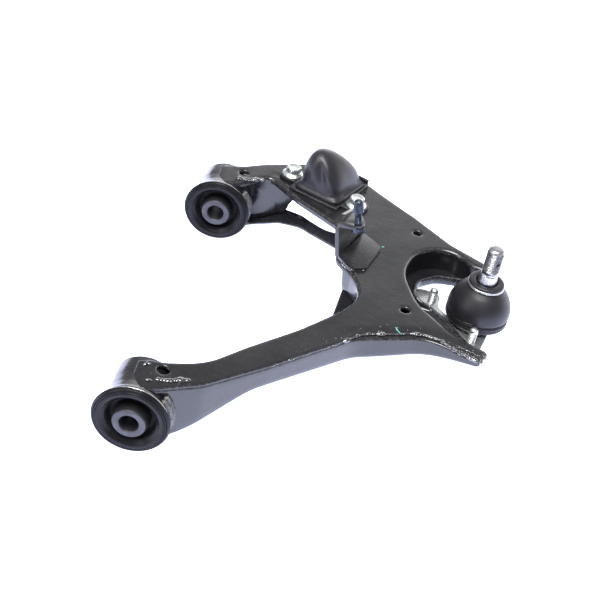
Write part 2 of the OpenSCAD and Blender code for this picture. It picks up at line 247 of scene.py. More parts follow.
def finish(name, dark, light, rough, metallic=0.0, patch=18.0, grain=(900.0, 0.00006),
           specks=None, wear=None, rings=None, coat=0.0, specular=0.5, scratches=None,
           ripple=None, worn_by=(260.0, 0.42, 0.62)):
    """One surface: a colour between dark and light in soft patches, a roughness between two
    values, a fine grain, and where asked specks, worn edges, turning marks and scratches.
    Noise scales are per metre, and the depths that go with them in metres."""
    material = bpy.data.materials.new(name)
    n = Nodes(material)
    bsdf = n.tree.nodes["Principled BSDF"].inputs
    soft = n.noise(patch, 4.0)
    colour = n.mix(n.span(soft, 0.35, 0.65), dark, light)
    fine = n.noise(grain[0], 2.0, 0.6)
    roughness = n.span(n.noise(patch * 3.1, 5.0, 0.65), 0.3, 0.7, rough[0], rough[1])
    if specks:
        dust = n.span(n.noise(specks[0], 1.0, 0.4), specks[1], specks[1] + 0.05)
        colour = n.mix(dust, colour, specks[2])
        roughness = n.math("MAXIMUM", roughness, n.math("MULTIPLY", dust, 0.6))
    if wear:
        worn = n.math("MULTIPLY", n.attribute("wear"),
                      n.span(n.noise(worn_by[0], 4.0, 0.7), worn_by[1], worn_by[2]))
        colour = n.mix(worn, colour, wear)
    normal = n.bump(fine, grain[1])
    if ripple:
        normal = n.bump(n.noise(ripple[0], 2.0, 0.5), ripple[1], normal)
    if rings:
        axis, centre, pitch, depth = rings
        move = n.new("ShaderNodeMapping")
        move.inputs["Location"].default_value = [-c * MM for c in centre]
        n.link(n.where["Object"], move.inputs["Vector"])
        parts = n.new("ShaderNodeSeparateXYZ")
        n.link(move.outputs["Vector"], parts.inputs[0])
        u, v = [parts.outputs[i] for i in range(3) if i != axis]
        radius = n.math("SQRT", n.math("ADD", n.math("MULTIPLY", u, u), n.math("MULTIPLY", v, v)))
        along = n.math("ADD", radius, parts.outputs[axis])
        marks = n.math("SINE", n.math("MULTIPLY", along, 2 * math.pi / (pitch * MM)))
        normal = n.bump(marks, depth * MM, normal)
        roughness = n.math("ADD", roughness, n.math("MULTIPLY", marks, 0.03))
    if scratches:
        marks = n.span(n.noise(scratches[0], 3.0, 0.7, stretch=(1.0, 9.0, 3.0)), 0.60, 0.68)
        roughness = n.math("ADD", roughness, n.math("MULTIPLY", marks, scratches[1]))
    for key, value in (("Base Color", colour), ("Roughness", roughness), ("Normal", normal)):
        n.link(value, bsdf[key])
    for key, value in (("Metallic", metallic), ("Specular IOR Level", specular),
                       ("Coat Weight", coat), ("Coat Roughness", 0.12)):
        bsdf[key].default_value = value
    return material


PAINT = finish("arm_paint", (0.006, 0.006, 0.008), (0.011, 0.011, 0.013), (0.15, 0.27),
               patch=14.0, grain=(1100.0, 0.00004), specks=(1500.0, 0.78, (0.12, 0.13, 0.13)),
               wear=(0.05, 0.05, 0.055), ripple=(150.0, 0.00010), specular=0.65,
               scratches=(60.0, 0.12))
PAINT_WELD = finish("weld_paint", (0.006, 0.006, 0.007), (0.014, 0.014, 0.016), (0.06, 0.16),
                    patch=60.0, grain=(900.0, 0.00010), wear=(0.10, 0.10, 0.105),
                    specular=1.0, coat=1.0)
WELD_GREY = finish("weld_scale", (0.03, 0.03, 0.032), (0.11, 0.11, 0.11), (0.30, 0.5), 0.35,
                   patch=420.0, grain=(1300.0, 0.00020), wear=(0.20, 0.20, 0.20),
                   specks=(1100.0, 0.66, (0.30, 0.30, 0.29)))
STEEL = finish("bare_steel", (0.50, 0.49, 0.48), (0.64, 0.63, 0.61), (0.22, 0.36), 1.0,
               patch=70.0, grain=(2600.0, 0.00002), specks=(700.0, 0.74, (0.20, 0.18, 0.16)))
STUD_STEEL = finish("turned_steel", (0.40, 0.40, 0.42), (0.58, 0.58, 0.61), (0.20, 0.34), 1.0,
                    patch=60.0, grain=(2600.0, 0.00002), rings=(2, BALL, 0.35, 0.004),
                    specks=(650.0, 0.72, (0.20, 0.18, 0.16)), wear=(0.08, 0.08, 0.08),
                    worn_by=(900.0, 0.24, 0.66))
SLEEVE = finish("phosphated_sleeve", (0.042, 0.042, 0.049), (0.068, 0.068, 0.078), (0.38, 0.5),
                0.7, patch=90.0, grain=(2200.0, 0.00004), rings=(1, (0, 0, 0), 0.5, 0.003),
                specks=(800.0, 0.72, (0.07, 0.07, 0.08)))
ZINC = finish("zinc_plate", (0.56, 0.59, 0.575), (0.78, 0.80, 0.785), (0.18, 0.34), 0.92,
              patch=85.0, grain=(1500.0, 0.00005), specks=(600.0, 0.70, (0.34, 0.37, 0.34)))
ZINC_BRIGHT = finish("zinc_bolts", (0.62, 0.66, 0.64), (0.82, 0.85, 0.83), (0.20, 0.34), 0.9,
                     patch=120.0, grain=(1800.0, 0.00004))
BLUED = finish("blued_steel", (0.022, 0.026, 0.038), (0.058, 0.066, 0.090), (0.22, 0.38), 0.8,
               patch=220.0, grain=(1500.0, 0.00006), specks=(900.0, 0.69, (0.24, 0.25, 0.28)))
RUBBER = finish("bush_rubber", (0.005, 0.005, 0.006), (0.009, 0.009, 0.011), (0.24, 0.36),
                patch=50.0, grain=(1400.0, 0.00006), specks=(900.0, 0.75, (0.04, 0.04, 0.05)),
                specular=0.15)
# the bush rubber again, darker and rougher, for the recess in the middle of the bush: painted
# shade, since it is the same rubber
RUBBER_SHADE_PAINTED = finish("bush_rubber_shade_painted", (0.003, 0.003, 0.004), (0.006, 0.006, 0.007),
                     (0.60, 0.75), patch=50.0, grain=(1300.0, 0.00008), specular=0.25,
                     specks=(900.0, 0.76, (0.03, 0.03, 0.035)))
BUMP = finish("bump_rubber", (0.010, 0.009, 0.012), (0.017, 0.016, 0.020), (0.32, 0.46),
              patch=30.0, grain=(1000.0, 0.00010), specks=(1200.0, 0.75, (0.08, 0.08, 0.09)),
              specular=0.36)
BOOT = finish("boot_rubber", (0.0070, 0.0065, 0.0090), (0.012, 0.011, 0.015), (0.36, 0.50),
              patch=35.0, grain=(1500.0, 0.00005), specks=(1300.0, 0.76, (0.05, 0.05, 0.055)),
              specular=0.38)
NYLON = finish("seat_plastic", (0.62, 0.58, 0.48), (0.70, 0.67, 0.57), (0.35, 0.45),
               patch=40.0, grain=(1500.0, 0.00003))
MARK = finish("paint_mark", (0.05, 0.30, 0.27), (0.14, 0.46, 0.42), (0.45, 0.6),
              patch=400.0, grain=(1500.0, 0.00005))


# ---- outlines: corners [x, y, radius] with rounded corners

REAR_EDGE = [(-9, -19, 1), (6, -19.5, 12), (50, 4, 40), (96, 46, 120), (163, 113, 50),
             (226, 139, 40), (273, 120, 3)]
TOP_FORK = [(279, 139, 3), (247, 152, 30), (212, 184, 60), (193.5, 232, 60), (204, 273, 37),
            (236, 287, 26), (262, 266, 30), (280, 263, 3)]
FRONT_EDGE = [(282, 272, 4), (236, 297, 40), (199, 329, 50), (160, 358, 60), (122, 390, 40),
              (74, 384, 30), (34, 364, 60), (6, 345, 8), (-9, 344, 1)]
CROTCH = [(-9, 306, 1), (6, 306, 10), (44, 341, 10), (78, 311, 60), (122, 282, 10)]
NOTCH = [(129, 226, 14), (146, 205, 6), (161, 178, 40), (145, 148, 6), (112, 107, 60),
         (74, 67, 60), (44, 32, 60), (6, 19.5, 8), (-9, 19, 1)]
LOWER_FORK = [(279, 140, 4), (257, 180, 40), (246, 198, 40), (229, 214, 14), (209, 216, 10),
              (211, 243, 16), (228, 258, 20), (262, 264, 30), (280, 266, 3)]
LOWER_REAR = [(-6, -19, 1), (6, -19.5, 8)] + REAR_EDGE[2:]
LOWER_FRONT = FRONT_EDGE[:3] + [(174, 340, 20), (122, 296, 30), (92, 316, 40), (60, 350, 20),
                                (34, 359, 20), (-6, 345, 2)]
LOWER_INNER = [(-6, 306, 2), (34, 332, 16), (62, 322, 20), (96, 294, 40), (126, 278, 10),
               (140, 262, 10), (142, 222, 20), (137, 156, 12), (112, 111, 60), (74, 70, 60),
               (44, 34, 60), (6, 19.5, 8), (-6, 19, 1)]
# the ball joint's flange, about the ball
FLANGE = [(-72, 8, 10), (-34, -42, 20), (-8, -58, 10), (8, -48, 8), (12, -29, 6), (14, -19, 4),
          (24, -13, 12), (24, 12, 12), (25, 50, 11), (0, 56, 12), (-24, 20, 10), (-24, -4, 10),
          (-17, -17, 2), (-36, 5, 10), (-35, 27, 9), (-58, 28, 10)]


MIN_R = 0.02                       # the smallest radius that an inset leaves at a corner


class Outline:
    """A closed path of rounded corners, sampled so that every inset of it matches."""

    def __init__(self, groups, step=4.0):
        self.corners, self.group = [], []
        for name, path in groups:
            for c in path:
                self.corners.append(np.array(c, float))
                self.group.append(name)
        n = len(self.corners)
        self.plan = []             # (corner, "arc" or "run", share of its arc or of the run on)
        for i in range(n):
            a, b, c = self.corners[i - 1], self.corners[i], self.corners[(i + 1) % n]
            turn = abs(self._turn(a, b, c))
            steps = max(2, math.ceil(math.degrees(turn) / 6), math.ceil(turn * b[2] / step))
            self.plan += [(i, "arc", k / steps) for k in range(steps + 1)]
            run = np.linalg.norm(c[:2] - b[:2])
            turn_next = abs(self._turn(b, c, self.corners[(i + 2) % n]))
            run -= b[2] * math.tan(turn / 2) + c[2] * math.tan(turn_next / 2)
            pieces = int(max(1, run // step))
            self.plan += [(i, "run", k / pieces) for k in range(1, pieces)]
        self.names = [self.group[i] for i, _, _ in self.plan]

    @staticmethod
    def _turn(a, b, c):
        """The turn at b, in radians, positive to the left."""
        u, v = b[:2] - a[:2], c[:2] - b[:2]
        return math.atan2(u[0] * v[1] - u[1] * v[0], float(u @ v))

    def _moved(self, i, d):
        """Corner i moved in by d: its place, radius, directions in and out, and turn."""
        n = len(self.corners)
        a, b, c = self.corners[i - 1], self.corners[i], self.corners[(i + 1) % n]
        u = (b - a)[:2] / np.linalg.norm((b - a)[:2])
        v = (c - b)[:2] / np.linalg.norm((c - b)[:2])
        t = self._turn(a, b, c)
        m = np.array([-u[1] - v[1], u[0] + v[0]])
        q = b[:2] + m / np.linalg.norm(m) * d / math.cos(t / 2)
        return q, max(MIN_R, b[2] - d if t > 0 else b[2] + d), u, v, t

    def point(self, plan, d):
        """One planned point of the outline moved in by d."""
        i, kind, share = plan
        q, r, u, v, t = self._moved(i, d)
        back = r * math.tan(abs(t) / 2)
        if kind == "arc":
            if abs(t) < 1e-4:
                return q
            side = 1 if t > 0 else -1
            start = q - u * back
            mid = start + side * r * np.array([-u[1], u[0]])
            k, e = t * share, start - mid
            return mid + np.array([e[0] * math.cos(k) - e[1] * math.sin(k),
                                   e[0] * math.sin(k) + e[1] * math.cos(k)])
        q2, r2, _, _, t2 = self._moved((i + 1) % len(self.corners), d)
        end = q2 - v * r2 * math.tan(abs(t2) / 2)
        return (q + v * back) * (1 - share) + end * share

    def ring(self, inset):
        """Points of the outline moved in by inset, one number or one per point."""
        if np.isscalar(inset):
            inset = [inset] * len(self.plan)
        return np.array([self.point(p, d) for p, d in zip(self.plan, inset)])


def inside(points, loop):
    """Which of the points lie inside a loop."""
    x, y = points[:, 0], points[:, 1]
    hit = np.zeros(len(points), bool)
    a, b = loop, np.roll(loop, -1, axis=0)
    for (x0, y0), (x1, y1) in zip(a, b):
        crosses = (y0 > y) != (y1 > y)
        if y1 != y0:
            hit ^= crosses & (x < (x1 - x0) * (y - y0) / (y1 - y0) + x0)
    return hit


def away(points, loop, closed=True):
    """Distance of each point from a loop or a line."""
    a = loop
    b = np.roll(loop, -1, axis=0)
    if not closed:
        a, b = a[:-1], b[:-1]
    best = np.full(len(points), 1e9)
    for p, q in zip(a, b):
        d = q - p
        t = np.clip(((points - p) @ d) / max(1e-9, d @ d), 0, 1)
        best = np.minimum(best, np.linalg.norm(points - (p + t[:, None] * d), axis=1))
    return best


def fill(shape, ring, ring_xy, holes, height, spacing=5.0, flip=False, wear=0.0):
    """Fills a ring with a triangle net that follows height(x, y), leaving out the holes."""
    loops = [(ring, np.asarray(ring_xy))] + [(h, np.asarray(xy)) for h, xy in holes]
    lo, hi = loops[0][1].min(0) + 2, loops[0][1].max(0)
    gx, gy = np.meshgrid(*(np.arange(lo[k], hi[k], spacing) for k in (0, 1)))
    grid = np.stack([gx.ravel(), gy.ravel()], 1)
    keep = inside(grid, loops[0][1]) & (away(grid, loops[0][1]) > spacing * 0.45)
    for _, xy in loops[1:]:
        keep &= ~inside(grid, xy) & (away(grid, xy) > spacing * 0.3)
    grid = grid[keep]
    all_xy, edges, index = [], [], []
    for idx, xy in loops:
        base = len(all_xy)
        all_xy += [Vector(p) for p in xy]
        index += list(idx)
        edges += [(base + i, base + (i + 1) % len(xy)) for i in range(len(xy))]
    index += shape.add([(x, y, height(x, y)) for x, y in grid], wear)
    all_xy += [Vector(p) for p in grid]
    out, _, faces, source, _, _ = delaunay_2d_cdt(all_xy, edges, [], 1, 1e-5)
    where = []
    for p, s in zip(out, source):
        where.append(index[s[0]] if s else shape.add([(p.x, p.y, height(p.x, p.y))], wear)[0])
    centres = np.array([[sum(out[i].x for i in f) / len(f), sum(out[i].y for i in f) / len(f)]
                        for f in faces])
    good = inside(centres, loops[0][1])
    for _, xy in loops[1:]:
        good &= ~inside(centres, xy)
    for f, ok in zip(faces, good):
        if ok:
            g = [where[i] for i in f]
            shape.faces.append(tuple(reversed(g)) if flip else tuple(g))


# ---- heights of the two sheets

NEAR = Outline([("near", REAR_EDGE), ("rest", TOP_FORK + FRONT_EDGE + CROTCH + NOTCH)])
NEAR_LINE = np.array([p for p, g in zip(NEAR.ring(0.0), NEAR.names) if g == "near"])
FRONT_LIP = np.array([(50, 341), (78, 311), (122, 282)], float)
SKIM = 0.12                        # the top sheet's cover over the tubes where it ends


def top_height(x, y):
    """Upper face of the top sheet."""
    z = TOP_Z + 0.16 * waves(x, y, 0, 70) + 0.05 * waves(x, y, 0, 21, 3)
    z += 0.20 * waves((x + y) * 0.3, x - y, 0, 34, 9)
    if x < 16 and (abs(y) < 26 or abs(y - SPAN) < 26):
        over = TUBE_R + SKIM + (SHEET - SKIM) * smooth(-9, 9, x)     # thins out onto the tube
        round_z = math.sqrt(over ** 2 - x * x)
        z = z + soft_ramp(round_z - z, 1.2) if x > 0 else round_z
    if 120 < x < 262 and y < 220:
        d = away(np.array([[x, y]]), NEAR_LINE, closed=False)[0]
        z += (0.45 * smooth(9.5, 13.5, d) * smooth(122, 150, x) * (1 - smooth(235, 260, x))
              * (1 - smooth(150, 220, y)))
    if 40 < x < 128 and y > 270:
        d = away(np.array([[x, y]]), FRONT_LIP, closed=False)[0]
        z -= 0.5 * math.exp(-((d - 6.5) / 1.8) ** 2)
    return z


def floor_height(x, y):
    """Underside of the lower sheet."""
    x_low, x_high, rise = 33.0, 87.0, 32.3
    slope = rise / (x_high - x_low)
    z = FLOOR_Z + slope * (soft_ramp(x - x_low, 7) - soft_ramp(x - x_high, 7))
    beyond = (x - FOLD_AT[0]) * math.sin(FOLD_DIR) - (y - FOLD_AT[1]) * math.cos(FOLD_DIR)
    return z + FOLD_RISE * max(0.0, soft_ramp(beyond, 8) - 0.1)


# ---- top stamping: plate, rolled edges and side walls

def build_top():
    """The top sheet with its side walls. Returns the line of the seam along its near edge."""
    outline = Outline([("near", REAR_EDGE), ("fork", TOP_FORK), ("far", FRONT_EDGE),
                       ("open", CROTCH), ("notch", NOTCH)])
    base = outline.ring(0.0)
    kind = outline.names
    ledge, plate, bottom, radius = [], [], [], []
    for (x, y), k in zip(base, kind):
        near = k == "near"
        ledge.append(1.0 + (5.2 * smooth(150, 176, x) * (1 - smooth(212, 262, x)) if near else 0.0))
        plate.append(1.0 if near and x < 268 else 0.55 if k == "notch" else 0.0)
        low = floor_height(x, y)
        r = 5.0 if k in ("near", "notch") or (k == "far" and x > 190) else 0.6
        wall = low if r > 1 else low + SHEET
        lip = top_height(x, y) - 6.0 + 2.0 * (x < 0)
        is_open = k == "open" or (k == "notch" and x < 141 and y > 213)
        fade = 1.0 if is_open else 1 - smooth(13, 19, x)
        bottom.append(wall * (1 - fade) + lip * fade)
        radius.append(min(r * (1 - fade) + 0.6 * fade, (TOP_Z - wall) * 0.35))
    ledge, plate, bottom, radius = map(np.array, (ledge, plate, bottom, radius))
    top = np.array([top_height(x, y) for x, y in base])

    # (inset, height) down an edge: stepped has a welded plate's edge and a ledge beneath it,
    # rolled is one round bend, and plate mixes the two
    edge_low = -4.4
    stepped = [(ledge + 3.0, 0), (ledge + 1.2, 0), (ledge + 0.35, -0.3), (ledge, -1.1),
               (ledge - 0.04, -2.1), (ledge * 0.4 + 0.5, -2.0), (0.85, -2.3), (0.26, -3.0),
               (0.0, edge_low)]
    rolled = [(5.0, 0), (3.3, -0.03), (2.3, -0.2), (1.45, -0.6), (0.85, -1.1), (0.45, -1.65),
              (0.18, -2.25), (0.04, -2.9), (0.0, edge_low)]
    shape = Shape()
    rings, plans = [], []

    def row(xy, heights, wear):
        rings.append(shape.add([(x, y, z) for (x, y), z in zip(xy, heights)], wear))
        plans.append(xy)

    wears = [0, 0.1, 0.7, 0.8, 0.3, 0.1, 0.6, 0.8, 0.2]
    for k, ((ds, zs), (dr, zr), wear) in enumerate(zip(stepped, rolled, wears)):
        xy = outline.ring(ds * plate + dr * (1 - plate))
        # the plate's own rows follow the plate's face, the rest hang from the outline
        face = np.array([top_height(x, y) for x, y in xy]) if k < 3 else top
        row(xy, face + (zs * plate + zr * (1 - plate)), wear)
    high = top + edge_low                   # where the side wall starts
    low = bottom + radius                   # where it bends in at its foot
    for share in (0.2, 0.4, 0.6, 0.8, 1.0):
        dent = np.array([0.25 * waves(x, y, share * 40, 45, 5) * math.sin(share * math.pi)
                         for x, y in base])
        row(outline.ring(np.maximum(0.0, dent)), high * (1 - share) + low * share, 0.0)
    for angle in (20, 40, 60, 80, 90):
        a = math.radians(angle)
        row(outline.ring(radius * (1 - math.cos(a))), low - radius * math.sin(a), 0.25)
    row(outline.ring(np.maximum(radius, 0.8)), bottom + 2.2 * (radius > 1), 0.3)
    row(outline.ring(SHEET), np.minimum(low, high), 0.0)
    row(outline.ring(SHEET), high + 0.5, 0.0)
    row(outline.ring(SHEET + 1.2), top - SHEET, 0.0)
    shape.skin(rings, flip=True)

    holes, under = [], []
    for cx, cy, r in TOP_HOLES:
        lips = []
        for grow, drop, wear in ((1.3, 0, 0), (0.4, -0.15, 0.6), (0, -0.7, 0.6), (0, -SHEET, 0)):
            xy = circle(r + grow, 36, cx, cy)
            lips.append((shape.add([(x, y, top_height(x, y) + drop) for x, y in xy], wear), xy))
        shape.skin([ring for ring, _ in lips])
        holes.append(lips[0])
        under.append(lips[-1])
    fill(shape, rings[0], plans[0], holes, top_height, 4.0)
    fill(shape, rings[-1], plans[-1], under, lambda x, y: top_height(x, y) - SHEET, 8.0, flip=True)
    obj = shape.make("top_stamping", PAINT, sharp=50)
    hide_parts("upper_shell")
    seam_line = zip(outline.ring(ledge + 0.2), top - 1.2, kind)
    return np.array([(*p, z) for p, z, k in seam_line if k == "near"])


def build_lower():
    """The bottom sheet: its edge is flat, but stands up as a rim where it shows in the fork."""
    outline = Outline([("near", LOWER_REAR), ("fork", LOWER_FORK), ("far", LOWER_FRONT),
                       ("inner", LOWER_INNER)])
    base = outline.ring(0.0)
    top_loop = Outline([("all", REAR_EDGE + TOP_FORK + FRONT_EDGE + CROTCH + NOTCH)]).ring(0.0)
    clear = away(base, top_loop) * np.where(inside(base, top_loop), -1, 1)
    kind = outline.names
    rim = np.array([smooth(0.5, 4.0, c) if k == "fork" else 0.0 for c, k in zip(clear, kind)])

    def tucked(x, y, k):                    # where the edge hides behind a side wall
        return k == "near" or (k == "inner" and x < 135 and y < 150) or (k == "far" and x > 200)

    hem = np.array([4.6 * smooth(12, 18, x) if tucked(x, y, k) else 0.0
                    for (x, y), k in zip(base, kind)])
    low = np.array([floor_height(x, y) for x, y in base])
    # the rim is lower and broader along the fork's near side
    tall = np.array([1 - 0.78 * smooth(209, 232, x) if y < 217 else 1.0 for x, y in base])
    broad = 1 + 0.6 * (1 - tall)
    # (inset, height over the floor) round the edge, from its upper face to its lower one
    flat = [(4.0, 3.0), (2.6, 3.0), (1.2, 3.0), (0.4, 2.7), (0.1, 2.2), (0.0, 1.9), (0.0, 1.6),
            (0.0, 1.4), (0.0, 1.1), (0.1, 0.8), (0.4, 0.3), (1.2, 0.0), (4.0, 0.0)]
    raised = [(8.0, 3.0), (5.4, 3.2), (4.0, 4.2), (3.2, 6.0), (3.0, 9.6), (2.6, 10.6), (1.5, 11.0),
              (0.5, 10.7), (0.0, 9.8), (0.0, 4.0), (0.8, 1.6), (2.6, 0.3), (6.0, 0.0)]
    shape = Shape()
    rings, plans = [], []
    worn = [0, 0, 0.2, 0.4, 0.4, 0.9, 1.0, 0.9, 0.5, 0.3, 0.3, 0.2, 0]
    ceiling = TOP_Z - SHEET - 0.3
    for (df, zf), (dr, zr), wear in zip(flat, raised, worn):
        xy = outline.ring(df * (1 - rim) + dr * rim * broad + hem)
        heights = [floor_height(x, y) for x, y in xy] if zf in (0.0, 3.0) else low
        lift = zr if zr <= 3.0 else 3.0 + (zr - 3.0) * tall
        z = np.array(heights) + zf * (1 - rim) + lift * rim
        z = np.minimum(z, ceiling)
        rings.append(shape.add([(x, y, h) for (x, y), h in zip(xy, z)], wear))
        plans.append(xy)
    shape.skin(rings, flip=True)
    fill(shape, rings[0], plans[0], [], lambda x, y: min(floor_height(x, y) + SHEET, ceiling))
    fill(shape, rings[-1], plans[-1], [], floor_height, flip=True)
    obj = shape.make("lower_stamping", PAINT, sharp=50)
    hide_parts("lower_shell")


# ---- weld beads

def resample(points, step):
    """The line through the points at even steps, and each step's distance along it."""
    points = np.asarray(points, float)
    gaps = np.linalg.norm(np.diff(points, axis=0), axis=1)
    points = points[np.concatenate([[True], gaps > 1e-6])]
    s = np.concatenate([[0], np.cumsum(np.linalg.norm(np.diff(points, axis=0), axis=1))])
    at = np.linspace(0, s[-1], max(3, int(s[-1] / step)))
    return np.stack([np.interp(at, s, points[:, k]) for k in range(3)], 1), at


def weld(name, points, radius, seed, up=(0, 0, 1), pitch=2.1, flat=0.75, material=PAINT_WELD):
    """A bead of overlapping ripples along a line. radius is one number or a function of the
    distance along the line."""
    line, at = resample(points, 0.45)
    along = np.gradient(line, axis=0)
    along /= np.linalg.norm(along, axis=1)[:, None]
    up = np.array(up, float)
    shape, rows = Shape(), []
    around = 14
    for p, t, s in zip(line, along, at):
        side = np.cross(t, up)
        side /= max(1e-6, np.linalg.norm(side))
        high = np.cross(side, t)
        r = radius(s) if callable(radius) else radius
        end = min(1.0, 0.35 + min(s, at[-1] - s) / 2.5)
        r *= end * (1 + 0.20 * noise.noise(Vector((s / 7.0, seed, 0.3))))
        drift = 0.35 * r * noise.noise(Vector((s / 9.0, seed + 4.0, 1.7)))
        ring = []
        for k in range(around):
            a = 2 * math.pi * k / around
            bend = (s + 0.55 * r * math.cos(a) ** 2) / pitch + 0.25 * noise.noise(
                Vector((s / 5.0, seed, 8.0)))
            saw = bend - math.floor(bend)
            lump = 1 + 0.24 * (0.5 - saw) * max(0.0, math.sin(a) + 0.4)
            lump += 0.16 * noise.noise(Vector((s / 1.6, seed + a * 0.9, math.cos(a) * 1.3)))
            ring.append(p + side * (r * lump * math.cos(a) + drift)
                        + high * r * flat * lump * math.sin(a))
        rows.append(shape.add(ring, 0.4))
    shape.skin(rows)
    shape.cap(rows[0], True)
    shape.cap(rows[-1])
    obj = shape.make(name, material, sharp=48)


def blob_size(low, high, run, seed):
    """A bead's radius that swells and nearly dies away along its length."""
    return lambda s: low + (high - low) * smooth(-0.15, 0.35, noise.noise(
        Vector((s / run, seed, 0.0))))


def build_welds(seam):
    """Beads along the near seam, round the bushes and at the link bracket's foot."""
    along = seam[:, 0]
    for i, (name, a, b, size, pitch) in enumerate((
            ("weld_leg", 92, 150, blob_size(0.3, 1.1, 6.0, 2.2), 1.8),
            ("weld_body", 150, 206, blob_size(1.1, 2.2, 9.0, 5.1), 2.3),
            ("weld_body_2", 206, 236, blob_size(0.9, 2.0, 7.0, 7.7), 2.1),
            ("weld_prong", 232, 272, blob_size(1.4, 2.6, 5.0, 3.3), 1.7))):
        weld(name, seam[(along >= a) & (along <= b)], size, 2.0 + i, pitch=pitch)
    # rough run across the end of the rear prong, where the two sheets meet
    weld("weld_tip", [(272.8, 120.5, 27.4), (275.0, 126, 27.0), (276.8, 132, 26.8),
                      (278.0, 137.0, 26.6)], blob_size(1.4, 2.4, 4.0, 1.0), 9.0, up=(1, 0, 0.6),
         pitch=1.6)
    weld("weld_prong_top", [(251, 136, 28.2), (257, 134, 28.2), (264, 131.5, 28.2),
                            (271, 129, 28.2)], blob_size(0.3, 1.2, 4.0, 4.0), 12.0)
    for tag, y0 in BUSHES:
        # on top, beside the bush
        line = [(x, y0 + y, z) for x, y, z in ((11.5, -3.4, 28.9), (17, -2.2, 28.3),
                (24, 0.2, 28.2), (31, 3.6, 28.2), (39, 6.6, 28.2))]
        weld(f"weld_{tag}_top", line, blob_size(2.0, 3.2, 8.0, 6.0 + y0), 13.0, pitch=2.6,
             flat=0.62)
        if tag == "rear":
            weld("weld_rear_dab_1", [(4.6, -7.4, 30.0), (7.2, -6.6, 29.6), (9.6, -5.4, 29.2)],
                 1.3, 14.0, flat=0.5)
            weld("weld_rear_dab_2", [(-1.6, 9.6, 29.3), (1.2, 12.8, 29.8), (4.6, 12.2, 29.6)],
                 1.2, 15.0, flat=0.6)
        # a broad grey run round the tube, where the side walls meet it
        for k, (turn_from, turn_to, back, size, out) in enumerate((
                (-74, 44, -10.5, 3.1, 31.2), (-70, 40, 20.0, 2.0, 30.2),
                (-72, 46, -15.6, 2.7, 31.0))):
            arc = []
            for deg in range(turn_from, turn_to + 1, 4):
                a = math.radians(deg)
                arc.append((out * math.cos(a), y0 + back - 3.2 * math.sin(a) * (k != 1),
                            out * math.sin(a)))
            weld(f"weld_{tag}_ring_{k}", arc, blob_size(size * 0.85, size * 1.1, 9.0, k + y0),
                 20 + k + y0, up=(1, 0, 0), pitch=2.2, flat=0.9, material=WELD_GREY)
    weld("weld_link_foot", [(131.5, 226.5, 28.5), (137, 219, 28.4), (143.5, 211.5, 28.4),
                            (150, 213.5, 28.4), (157, 216.5, 28.4)],
         blob_size(0.8, 2.3, 5.0, 8.4), 41, pitch=1.7)
    line = [(130.0 + 1.71 * k, 227.4 + 4.7 * k, 28.5) for k in (0.4, 3, 6, 9, 10.4)]
    weld("weld_link_web", line, blob_size(0.5, 1.5, 8.0, 1.5), 42)


def build_spatter(seam):
    """Small balls of metal that stuck beside the beads."""
    shape, seeds = Shape(), np.random.default_rng(7)
    spots = []
    for _ in range(46):
        p = seam[int(seeds.integers(0, len(seam)))]
        if p[0] > 120:
            spots.append((p[0] + seeds.normal(0, 3), p[1] + abs(seeds.normal(0, 5)) + 2.5))
    for x0, y0, dx, dy, count in ((25, 3, 9, 4, 14), (146, 214, 8, 5, 12), (262, 130, 7, 3, 14)):
        spots += [(x0 + seeds.normal(0, dx), y0 + seeds.normal(0, dy)) for _ in range(count)]
    for sx, sy in spots:
        r = float(seeds.uniform(0.25, 0.62))
        z = top_height(sx, sy)
        ball = [shape.add([(x, y, z + r * 0.9 * h) for x, y in circle(r * c, 8, sx, sy)], 0.3)
                for c, h in ((1.25, -0.1), (0.95, 0.45), (0.5, 0.85))]
        shape.skin(ball)
        shape.cap(ball[-1])
    obj = shape.make("weld_spatter", PAINT_WELD, sharp=60)


# ---- turned pieces

def curve(points, steps=5):
    """A smooth line through the points, for soft profiles."""
    p = [np.array(q, float) for q in points]
    out = []
    for i in range(len(p) - 1):
        a, b, c, d = p[max(0, i - 1)], p[i], p[i + 1], p[min(len(p) - 1, i + 2)]
        for k in range(steps):
            t = k / steps
            out.append(0.5 * (2 * b + (c - a) * t + (2 * a - 5 * b + 4 * c - d) * t * t
                              + (3 * b - a - 3 * c + d) * t ** 3))
    return [tuple(q) for q in out + [p[-1]]]


def eased(points, r=0.5, steps=3):
    """A profile with each of its corners rounded by about r."""
    p = [np.array(q[:2], float) for q in points]
    out = [tuple(p[0])]
    for a, b, c in zip(p, p[1:], p[2:]):
        u, v = a - b, c - b
        lu, lv = np.linalg.norm(u), np.linalg.norm(v)
        cut = min(r, lu * 0.45, lv * 0.45)
        s, e = b + u / lu * cut, b + v / lv * cut
        for k in range(steps + 1):
            t = k / steps
            out.append(tuple((1 - t) ** 2 * s + 2 * t * (1 - t) * b + t * t * e))
    return out + [tuple(p[-1])]


